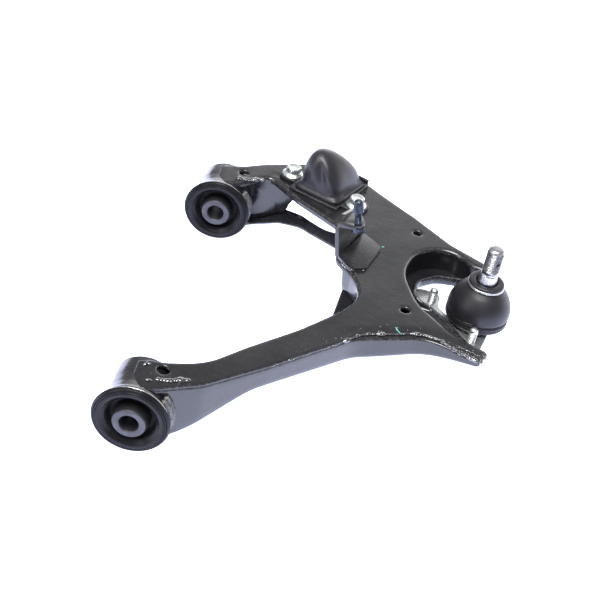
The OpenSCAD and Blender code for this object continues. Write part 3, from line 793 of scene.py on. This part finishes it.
def lathe(shape, profile, around=96, thread=None, closed=False):
    """Turns a profile of (radius, height) about Z. thread is (from, to, pitch, depth)."""
    if thread:
        z0, z1, pitch, depth = thread
        extra = []
        for (r0, a), (r1, b) in zip(profile, profile[1:]):
            extra.append((r0, a))
            if min(a, b) < z1 and max(a, b) > z0 and abs(b - a) > pitch / 4:
                steps = int(abs(b - a) / (pitch / 8))
                extra += [(r0 + (r1 - r0) * k / steps, a + (b - a) * k / steps)
                          for k in range(1, steps)]
        profile = extra + [profile[-1]]
    rows = []
    for r, z in profile:
        ring = []
        for k in range(around):
            a = 2 * math.pi * k / around
            q = r
            if thread and z0 < z < z1:
                turn = (z / pitch - k / around) % 1.0
                groove = abs(2 * turn - 1)
                ends = smooth(0, 1.2 * pitch, z - z0) * smooth(0, 1.2 * pitch, z1 - z)
                q = r - depth * ends * smooth(0.12, 0.9, groove)
            ring.append((q * math.cos(a), q * math.sin(a), z))
        rows.append(shape.add(ring if r > 1e-6 else [(0, 0, z)]))
    for a, b in zip(rows, rows[1:] + (rows[:1] if closed else [])):
        if len(a) == 1 and len(b) == 1:
            continue
        if len(a) == 1 or len(b) == 1:
            tip, ring = (a, b) if len(a) == 1 else (b, a)
            for k in range(around):
                shape.faces.append((ring[k], ring[(k + 1) % around], tip[0]))
        else:
            shape.bridge(a, b)
    return shape


def at_ball(points):
    return points + BALL


def on_pivot(y0):
    """Places a piece turned about Z on the pivot axis, its top facing the rear."""
    return lambda p: np.stack([p[:, 0], y0 - p[:, 2], p[:, 1]], 1)


def turned(points, angle, at):
    """Points turned about Z and moved to at."""
    c, s = math.cos(angle), math.sin(angle)
    x, y, z = points.T
    return np.stack([at[0] + c * x - s * y, at[1] + s * x + c * y, at[2] + z], 1)


def in_bump(points):
    return turned(points, BUMP_YAW, (*BUMP_AT, 0))


def build_bushes():
    """Each bush: tube, outer sleeve, rubber with its deep middle, and the sleeve that turns."""
    tube = eased([(24.2, -24), (TUBE_R, -24), (TUBE_R, -2), (27.8, 8), (29.3, 16.5),
                  (30.4, 19.5), (30.4, 21.4), (24.2, 21.4)], 1.6)
    sleeve = eased([(21.5, -24), (23.9, -24), (23.9, 21.6), (31.4, 21.6), (31.9, 22.4),
                    (31.4, 23.6), (21.5, 23.6)], 0.4)
    rubber = curve([(14.1, -27), (16, -26.4), (19, -24.6), (21.6, -22.2)], 4) + eased(
        [(21.6, -22), (21.6, 23.8), (31.4, 23.8)], 0.2) + curve(
        [(32.2, 24.0), (32.9, 24.5), (33.0, 25.2), (32.4, 25.5), (32.2, 25.9), (32.4, 26.5),
         (31.8, 27.2), (31.1, 27.7), (30.8, 27.2), (30.4, 27.2), (30.1, 27.9), (29.4, 28.2),
         (29.1, 27.8), (28.7, 27.8), (28.4, 28.4), (27.6, 28.5), (26.4, 28.5), (25.2, 28.1),
         (24.3, 27.4), (23.2, 26.4), (21.7, 25.2), (21.1, 23.6), (21.0, 20.0), (20.4, 16.0),
         (14.1, 16.0)], 4)
    core = curve([(24.2, 27.2), (23.0, 26.1), (21.4, 24.8), (20.8, 23.2), (20.5, 20.0),
                  (19.2, 17.0), (17.2, 16.8), (15.7, 17.4), (15.2, 19.0), (14.9, 27.9),
                  (14.5, 28.7), (14.1, 28.8)], 4) + [(14.1, 15.4), (21.3, 15.4), (22.4, 25.4)]
    inner = eased([(8.25, -30.2), (9.0, -31), (13.2, -31), (14, -30.2), (14, 30.2), (13.2, 31),
                   (9.0, 31), (8.25, 30.2)], 0.25)
    for tag, y0 in BUSHES:
        for name, profile, around, material, body, slot, node in (
                ("tube", tube, 112, PAINT, "arm", "arm_paint", "bush_tube"),
                ("sleeve_steel", sleeve, 112, STEEL, "arm", "bare_steel", "outer_sleeve"),
                ("rubber", rubber, 128, RUBBER, "arm", "rubber", "bush_rubber"),
                # the recess takes the darker copy of the rubber, painted shade
                ("rubber_core", core, 128, RUBBER_SHADE_PAINTED, "arm", "rubber", None),
                ("inner_steel", inner, 96, SLEEVE, f"{tag}_sleeve", "bare_steel", "inner_sleeve")):
            shape = lathe(Shape(), profile, around, closed=True)
            obj = shape.make(f"{tag}_{name}", material, body, place=on_pivot(y0))
            if node:
                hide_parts(f"{tag}_{node}")


def build_stud():
    stud = eased([(0, -13), (6.5, -11.3), (11.2, -6.6), (13, 0), (11.2, 6.6), (7.5, 10.6),
                  (7.5, 24), (10, 34), (10, 45), (8.0, 57), (7.3, 58.2), (7.3, 59.6), (8.0, 60.6),
                  (8.0, 83.2), (6.9, 85.0), (5.0, 85.8), (2.5, 86), (0, 86)], 0.6, 3)
    shape = lathe(Shape(), stud, 160, thread=(60.8, 84.0, 1.5, 0.7))
    # the split pin's hole, pressed in from both sides
    pin_z, pin_r, pin_turn, pin_depth = 72.0, 1.9, math.radians(35), 1.2
    across = np.array([math.sin(pin_turn), -math.cos(pin_turn), 0])
    for i, p in enumerate(shape.points):
        q = np.array(p) - (0, 0, pin_z)
        along = q @ across
        if np.linalg.norm(q - across * along) < pin_r and abs(along) > 4:
            pressed = along - math.copysign(pin_depth, along)
            shape.points[i] = tuple(np.array(p) - across * pressed)
    shape.wear = [smooth(57.5, 60.5, p[2]) * (1 - smooth(83, 84.5, p[2])) for p in shape.points]
    obj = shape.make("threaded_stud", STUD_STEEL, "stud", place=at_ball)
    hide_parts("ball_stud")


def build_boot():
    """The rubber boot, and the clip of wire round its neck."""
    outer = [(29.0, 7.0), (29.8, 8.0), (30.0, 9.4), (29.6, 10.8), (28.6, 11.6), (28.5, 12.4),
             (29.3, 13.0), (29.2, 13.8), (28.6, 14.5), (28.9, 15.3), (30.0, 16.6), (30.1, 19.5),
             (29.7, 23.0), (28.7, 27.0), (27.0, 31.0), (24.6, 35.0), (21.6, 38.8), (18.6, 41.6),
             (16.9, 43.2), (16.3, 44.4), (16.3, 46.2), (16.9, 47.0), (16.6, 48.4), (15.2, 49.2),
             (12.4, 49.4), (10.6, 49.0)]
    skin = curve(outer, 4) + [(10.3, 46.0), (10.3, 42.4)] + curve(
        [(13.5, 41.4), (17, 39.5), (21, 35), (24.6, 29), (26.4, 21), (26.2, 16), (24, 13.8),
         (22.4, 13.2)], 3) + [(22.3, 7.0)]
    obj = lathe(Shape(), skin, 128, closed=True).make("boot", BOOT, None, 60, at_ball)
    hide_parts("dust_boot")
    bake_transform(obj)

    # two turns of round wire
    clip, clip_r, wire_r = Shape(), 16.9, 0.55
    for z in (45.0, 46.1):
        rows = []
        for k in range(97):
            a = 2 * math.pi * k / 96
            c = np.array([math.cos(a), math.sin(a), 0])
            rows.append(clip.add([c * (clip_r + u) + np.array([0, 0, z + v])
                                  for u, v in circle(wire_r, 8)]))
        clip.skin(rows)
    obj = clip.make("boot_clip", STEEL, "stud_swing", 60, at_ball)
    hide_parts("boot_upper_ring")


def build_flange():
    """The ball joint's zinc flange and housing, with three screws."""
    outline = Outline([("flange", FLANGE)])
    shape = Shape()
    rings, plans = [], []
    for inset, z, wear in ((2.2, 4.0, 0), (0.9, 3.95, 0.2), (0.3, 3.6, 0.7), (0.0, 2.9, 0.7),
                           (0.0, -1.2, 0.2), (0.25, -1.75, 0.3), (0.9, -2.0, 0)):
        plans.append(outline.ring(inset))
        rings.append(shape.add([(x, y, z) for x, y in plans[-1]], wear))
    shape.skin(rings, flip=True)
    seat = circle(20.5, 72)                 # where the flange meets the housing
    for side, z in ((0, 4.0), (-1, -2.0)):
        hole = shape.add([(x, y, z) for x, y in seat])
        fill(shape, rings[side], plans[side], [(hole, seat)], lambda x, y: z, 6.0, flip=side < 0)
    lathe(shape, eased([(17, -17), (18.3, -17), (19, -15.5), (20.4, -4), (22, -2), (22, 13),
                        (14.5, 13), (12.3, 8), (17, 8)], 0.6), 96, closed=True)
    obj = shape.make("joint_flange", ZINC, place=at_ball)
    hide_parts("ball_joint_housing")
    shape = Shape()
    for px, py in ((-43, 11), (-2, -37), (14, 34)):
        one = lathe(Shape(), eased([(0, -4), (6, -4), (6, -2), (4, -2), (4, 16.4), (3.4, 18),
                                    (2.0, 18.9), (0, 19.1)], 0.35),
                    48, thread=(2.5, 15.5, 1.25, 0.55))
        shape.merge(one, (px, py, 0))
    obj = shape.make("flange_screws", ZINC, place=at_ball)
    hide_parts("flange_studs")


# ---- formed brackets, from the solid shapes with eased edges

def rounded_copy(node, name, material, width, body="arm"):
    """A new piece with the shape of a CAD node and its hard edges eased by width."""
    bm = bmesh.new()
    bm.from_mesh(NODES[node].data)
    bmesh.ops.remove_doubles(bm, verts=bm.verts, dist=5e-6)
    bmesh.ops.dissolve_limit(bm, angle_limit=math.radians(0.6), verts=bm.verts, edges=bm.edges)
    edges = [e for e in bm.edges if len(e.link_faces) == 2
             and e.calc_face_angle(0) > math.radians(28)]
    bmesh.ops.bevel(bm, geom=edges, offset=width * MM, segments=3, profile=0.5,
                    affect="EDGES", clamp_overlap=True)
    mesh = bpy.data.meshes.new(name)
    bm.to_mesh(mesh)
    bm.free()
    wear = mesh.attributes.new("wear", "FLOAT", "POINT")
    wear.data.foreach_set("value", np.full(len(mesh.vertices), 0.25, np.float32))
    mesh.materials.append(material)
    shade(mesh, 38)
    obj = in_scene(name, mesh)
    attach(obj, body)
    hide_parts(node)
    return obj


def hex_screw():
    """A hexagon flange screw: washer, head with chamfered corners, and threaded shank."""
    screw, around, rows = Shape(), 72, []
    half_flats, corner_r = 7.0, 7.85
    washer = [(0, 0.0), (10.2, 0.0), (10.5, 0.4), (10.4, 1.2), (9.0, 2.2), (7.6, 3.2)]
    for r, h in eased(washer, 0.3)[1:]:
        rows.append(screw.add([(x, y, h) for x, y in circle(r, around)]))
    for h, cone in ((3.2, 9), (7.4, 9), (8.0, 8.0), (8.4, 7.5), (8.8, 6.9), (9.0, 6.3), (8.9, 5.4),
                    (8.5, 4.6), (8.4, 3.0)):
        ring = []
        for k in range(around):
            a = 2 * math.pi * k / around
            b = (a + math.radians(20)) % (math.pi / 3) - math.pi / 6
            r = min(half_flats / math.cos(b), corner_r, cone)
            ring.append((r * math.cos(a), r * math.sin(a), h))
        rows.append(screw.add(ring))
    screw.skin(rows)
    screw.cap(rows[-1])
    return lathe(screw, [(0, -22), (4.2, -22), (4.9, -21), (4.9, 0.2)], 48,
                 thread=(-21, -1, 1.5, 0.7))


# folds down the bump stop's rubber: bearing and width in degrees, height
BUMP_FOLDS = ((-101, 13, 1.6), (-79, 11, -2.6), (-58, 10, 1.4), (70, 14, -1.0))


def build_bump_stop():
    """Two screws, the plate, and a rubber block that leans and has soft folds."""
    shape = Shape()
    for x in (-38, 38):
        shape.merge(hex_screw(), (x, 0, PLATE_Z))
    obj = shape.make("plate_screws", ZINC_BRIGHT, sharp=32, place=in_bump)
    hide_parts("bump_stop_bolts")
    rounded_copy("bump_stop_plate", "stop_plate", PAINT, 0.8)

    shape, rows = Shape(), []

    def section(cx, cy, a, b, power, z, crease):
        """A rounded oblong about (cx, cy), half a by b, with the folds as deep as crease."""
        ring = []
        for k in range(128):
            t = 2 * math.pi * k / 128
            c, s = math.cos(t), math.sin(t)
            r = (abs(c / a) ** power + abs(s / b) ** power) ** (-1.0 / power)
            for at, wide, rise in BUMP_FOLDS:
                off = (math.degrees(t) - at + 180) % 360 - 180
                r += crease * rise * math.exp(-(off / wide) ** 2)
            ring.append((cx + r * c, cy + r * s, z))
        rows.append(shape.add(ring, 0.2))

    base_x, base_y = 0.0, 11.0
    for grow, z in ((-0.8, 0.0), (0, 0.6), (0.2, 2.2), (-0.2, 3.4), (-1.2, 4.1), (-2.6, 4.5)):
        section(base_x, base_y, 26 + grow, 30 + grow, 9, PLATE_Z + z, 0)
    for k in range(1, 25):
        t = k / 24
        rise = math.sin(t * math.pi / 2) ** 0.92
        lean = rise ** 1.7
        size = max(0.012, (1 - rise ** 2.5) ** 0.56)
        crease = smooth(0.02, 0.3, t) * (1 - smooth(0.30, 0.74, t))
        section(base_x - 9.5 * lean, base_y - 11.0 * lean, 23.0 * size, 27.0 * size,
                2.25 + 3.2 * (1 - rise) ** 1.4, PLATE_Z + 4.6 + 36.4 * rise, crease)
    shape.skin(rows)
    shape.cap(rows[-1])
    shape.cap(rows[0], True)
    obj = shape.make("stop_rubber", BUMP, sharp=60, place=in_bump)
    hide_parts("bump_stop_rubber")


def build_link():
    """The link's bracket and the threaded pin through its top."""
    obj = rounded_copy("link_bracket", "link_bracket_formed", PAINT, 0.9)
    lean, yaw = math.radians(-12), math.radians(70)
    pin_at = np.array([9.0, -15.5, 36.0])

    def in_link(points):
        x, y, z = (points + pin_at).T
        leant = np.stack([x, y * math.cos(lean) - z * math.sin(lean),
                          y * math.sin(lean) + z * math.cos(lean)], 1)
        return turned(leant, yaw, (*LINK_FOOT, TOP_Z))

    profile = eased([(0, -8), (6, -8), (6, -4), (3.4, -4), (3.4, 0.3), (3.4, 11), (3.9, 11.6),
                     (4.9, 12), (5, 12.6), (5, 20.5), (4.7, 22), (3.9, 23.6), (2.2, 24.7), (0, 25)],
                    0.35)
    shape = lathe(Shape(), profile, 72, thread=(1.2, 10.6, 1.0, 0.45))
    obj = shape.make("link_stud_threaded", BLUED, place=in_link)
    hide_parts("link_stud")


def build_marks():
    """Assembly paint dabs on the top face."""
    shape = Shape()
    for points, width in (([(195, 141), (197, 137.5), (201, 133.4)], 0.6),
                          ([(169, 262), (171, 264)], 0.7), ([(142, 383), (144, 385)], 0.8),
                          ([(137, 152), (139.5, 154)], 0.6)):
        line, at = resample([(x, y, 0.0) for x, y in points], 0.8)
        rows = []
        for p, t, s in zip(line, np.gradient(line, axis=0), at):
            t = t / np.linalg.norm(t)
            side = np.array([-t[1], t[0], 0])
            w = width * (0.55 + 0.45 * math.sin(math.pi * min(1, (s + 0.3) / (at[-1] + 0.6))))
            w *= 1 + 0.3 * noise.noise(Vector((s / 1.5, width, 3.0)))
            rows.append(shape.add([(q[0], q[1], top_height(q[0], q[1]) + h) for q, h in (
                (p - side * w, 0.0), (p - side * w * 0.7, 0.14), (p + side * w * 0.7, 0.14),
                (p + side * w, 0.0))]))
        for a, b in zip(rows, rows[1:]):
            shape.bridge(a, b, closed=False)
    obj = shape.make("paint_marks", MARK)


# ---- build

seam = build_top()
build_lower()
build_welds(seam)
build_spatter(seam)
build_bushes()
build_stud()
build_boot()
build_flange()
build_bump_stop()
build_link()
build_marks()
rounded_copy("front_web", "front_closing_plate", PAINT, 0.8)

# nodes whose shapes are right take a finish only
for node, material in (("boot_lower_ring", BOOT), ("bump_stop_weld_nuts", ZINC),
                       ("ball_seat_upper", NYLON), ("ball_seat_lower", NYLON),
                       ("ball_joint_cover", ZINC)):
    NODES[node].data.materials.clear()
    NODES[node].data.materials.append(material)


# ---- floor, light and camera, in metres

FLOOR_HALF, FLOOR_GAP = 6.0, 0.0004
FLOOR_COLOUR, FLOOR_ROUGH, FLOOR_GLOW = (0.70, 0.74, 0.95, 1), 0.8, 1.8
ROOM_GLOW = 0.42


def build_floor():
    white = bpy.data.materials.new("floor_white")
    white.use_nodes = True
    inputs = white.node_tree.nodes["Principled BSDF"].inputs
    for key, value in (("Base Color", FLOOR_COLOUR), ("Roughness", FLOOR_ROUGH),
                       ("Emission Color", FLOOR_COLOUR), ("Emission Strength", FLOOR_GLOW)):
        inputs[key].default_value = value
    mesh = bpy.data.meshes.new("floor")
    level = CAD_BOX[0][2] - FLOOR_GAP
    corners = ((-1, -1), (1, -1), (1, 1), (-1, 1))
    mesh.from_pydata([(x * FLOOR_HALF, y * FLOOR_HALF, level) for x, y in corners], [],
                     [(0, 1, 2, 3)])
    mesh.materials.append(white)
    floor = in_scene("floor", mesh)


def build_room():
    """An even grey room with a bright low backdrop behind the part and a dim ceiling."""
    world = bpy.data.worlds.new("studio")
    bpy.context.scene.world = world
    n = Nodes(world)
    toward = n.new("ShaderNodeSeparateXYZ")
    n.link(n.where["Generated"], toward.inputs[0])
    x, y, z = toward.outputs
    low = n.span(z, 0.02, 0.72, 3.0, 0.0, step="SMOOTHSTEP")
    behind = n.span(y, -0.1, 0.5, step="SMOOTHSTEP")
    beside = n.span(x, -0.5, -0.1, step="SMOOTHSTEP")
    glow = n.math("MULTIPLY_ADD", low, n.math("MULTIPLY", behind, beside), ROOM_GLOW)
    background = n.tree.nodes["Background"]
    n.link(glow, background.inputs["Strength"])
    background.inputs["Color"].default_value = (0.97, 0.98, 1.0, 1)


def facing(direction):
    """The turn that points a lamp along a direction."""
    return Vector(direction).to_track_quat("-Z", "Y").to_euler()


def build_lamps():
    sun = bpy.data.lights.new("overhead", "SUN")
    sun.energy = 5.5
    sun.angle = math.radians(34)
    in_scene("overhead", sun).rotation_euler = facing((0.12, 0.25, -1.0))
    strip = bpy.data.lights.new("strip", "AREA")
    strip.shape = "RECTANGLE"
    strip.size, strip.size_y = 0.25, 1.0
    strip.energy = 9
    at, aim = Vector((-1.1, -0.9, 0.9)), Vector((0.1, 0.15, 0))
    lamp = in_scene("strip", strip)
    lamp.location = at
    lamp.rotation_euler = facing(aim - at)


def build_camera():
    """Looks down at target from distance metres away, turned by roll about its own axis."""
    azimuth, elevation, roll = map(math.radians, (1.778, 36.446, 12.575))
    distance, lens, sensor = 1.16817, 76.6032, 36     # lens and sensor in millimetres
    target = Vector((0.10586, 0.16866, 0.01233))
    back = Vector((math.sin(azimuth) * math.cos(elevation),
                   -math.cos(azimuth) * math.cos(elevation), math.sin(elevation)))
    level = Vector((math.cos(azimuth), math.sin(azimuth), 0))
    upright = back.cross(level)
    right = level * math.cos(roll) + upright * math.sin(roll)
    up = upright * math.cos(roll) - level * math.sin(roll)
    data = bpy.data.cameras.new("camera")
    data.sensor_width = sensor
    data.lens = lens
    data.clip_start, data.clip_end = 0.05, 30
    camera = in_scene("camera", data)
    turn = Matrix((right, up, back)).transposed().to_4x4()
    camera.matrix_world = Matrix.Translation(target + back * distance) @ turn
    bpy.context.scene.camera = camera
    bpy.context.scene.view_settings.view_transform = "Standard"


build_floor()
build_room()
build_lamps()
build_camera()
